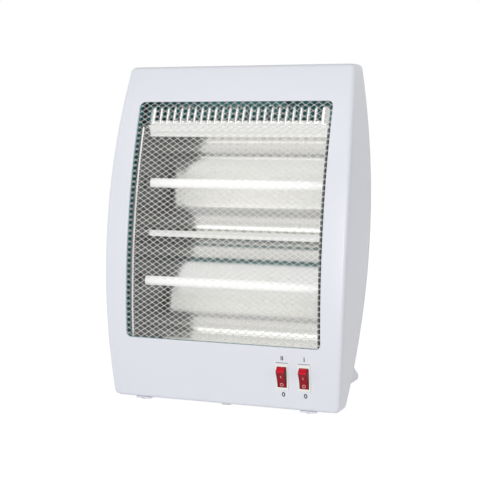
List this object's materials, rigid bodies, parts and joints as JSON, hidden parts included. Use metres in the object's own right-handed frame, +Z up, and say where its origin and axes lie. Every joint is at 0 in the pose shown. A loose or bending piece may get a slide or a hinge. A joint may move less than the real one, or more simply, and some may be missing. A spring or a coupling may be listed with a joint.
{
  "type": "electric bar heater",
  "caption": "Free-standing electric bar heater: leaning white housing, guard mesh over a polished double-trough reflector, quartz tubes, rocker switches and feet behind.",
  "frame": {"origin": "on the floor, at the middle of the heater's box from above", "axes": "+Z up; the window and switches face -Y; +X is to the right of someone facing the front"},
  "size_m": [0.276, 0.1704, 0.3645],
  "materials": {
    "white_plastic": "satin moulded white, faintly cool",
    "teal_plastic": "moulded teal, satin",
    "white_coat": "white baked enamel",
    "polished_aluminium": "polished sheet",
    "plate_steel": "plain zinc-coated sheet",
    "frosted_quartz": "frosted white quartz",
    "coil_wire": "dark resistance wire",
    "ceramic": "unglazed cream ceramic",
    "brass": "plain",
    "cream_plastic": "cream moulded",
    "red_plastic": "translucent red, glossy",
    "screw_steel": "zinc plated",
    "black_plastic": "moulded black",
    "plunger_plastic": "moulded white",
    "rubber": "matt",
    "lead_sleeve": "silicone sleeve"
  },
  "bodies": {
    "heater": {"front_housing": "white_plastic", "rear_cover": "teal_plastic", "guard_mesh": "white_coat", "guard_frame": "teal_plastic", "reflector": "polished_aluminium", "end_plate_left": "plate_steel", "end_plate_right": "plate_steel", "chassis_screws": "screw_steel", "quartz_tube_upper": "frosted_quartz", "quartz_tube_lower": "frosted_quartz", "heating_coil_upper": "coil_wire", "heating_coil_lower": "coil_wire", "cap_upper_left": "ceramic", "cap_upper_right": "ceramic", "cap_lower_left": "ceramic", "cap_lower_right": "ceramic", "tube_terminals": "brass", "switch_body_1": "cream_plastic", "switch_body_2": "cream_plastic", "switch_terminals": "brass", "tip_switch_body": "black_plastic", "tip_switch_screws": "screw_steel", "terminal_block": "cream_plastic", "terminal_block_screws": "screw_steel", "thermal_cutout": "plate_steel", "cord_bush": "black_plastic", "leads": "lead_sleeve", "cover_screws": "screw_steel", "foot_left": "white_plastic", "foot_right": "white_plastic", "foot_screws": "screw_steel", "foot_pads": "rubber"},
    "rocker_1": {"rocker_1": "red_plastic"},
    "rocker_2": {"rocker_2": "red_plastic"},
    "tip_plunger": {"tip_plunger": "plunger_plastic"}
  },
  "joints": [
    {"name": "rocker_1_turn", "type": "hinge", "parent": "heater", "child": "rocker_1", "pos_m": [0.0695, -0.07472, 0.03848], "axis": [-1, 0, 0], "range_deg": [0, 33]},
    {"name": "rocker_2_turn", "type": "hinge", "parent": "heater", "child": "rocker_2", "pos_m": [0.094, -0.07472, 0.03848], "axis": [-1, 0, 0], "range_deg": [0, 33]},
    {"name": "tip_plunger_slide", "type": "slide", "parent": "heater", "child": "tip_plunger", "axis": [0, 0, 1], "range_m": [-0.005, 0], "stiffness_N_per_m": 200, "springref_m": -0.006}
  ]
}
